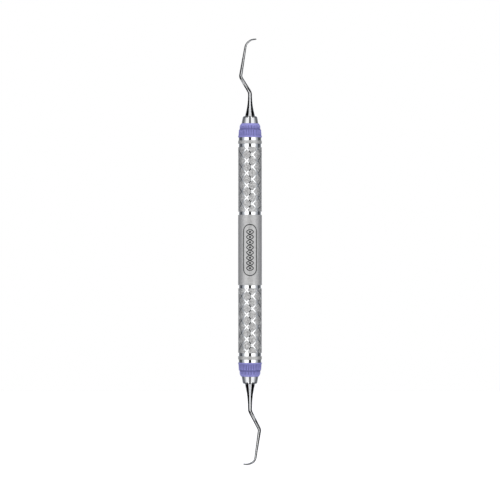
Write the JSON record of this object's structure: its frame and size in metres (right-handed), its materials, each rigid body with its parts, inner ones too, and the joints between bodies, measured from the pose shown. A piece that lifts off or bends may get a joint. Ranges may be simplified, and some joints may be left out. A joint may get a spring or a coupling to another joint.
{
  "type": "hand scaler",
  "caption": "Double-ended dental hand scaler with a hollow diamond-patterned steel handle, ribbed silicone colour rings and bent shanks that end in curved blades.",
  "frame": {"origin": "middle of the handle, on its axis", "axes": "+Z along the handle towards the upper working end; both working ends bend in the XZ plane, the upper blade's toe pointing to +X"},
  "size_m": [0.0094, 0.0094, 0.171],
  "materials": {
    "handle_steel": "satin bead-blasted pads and band, polished channels and necks",
    "plug_steel": "polished, with a satin flange",
    "ring_silicone": "matt lavender silicone with fine ribs",
    "blade_steel": "high polish"
  },
  "bodies": {
    "root": {"handle_tube": "handle_steel", "upper_end_plug": "plug_steel", "lower_end_plug": "plug_steel", "upper_colour_ring": "ring_silicone", "lower_colour_ring": "ring_silicone", "upper_working_end": "blade_steel", "lower_working_end": "blade_steel"}
  },
  "joints": []
}
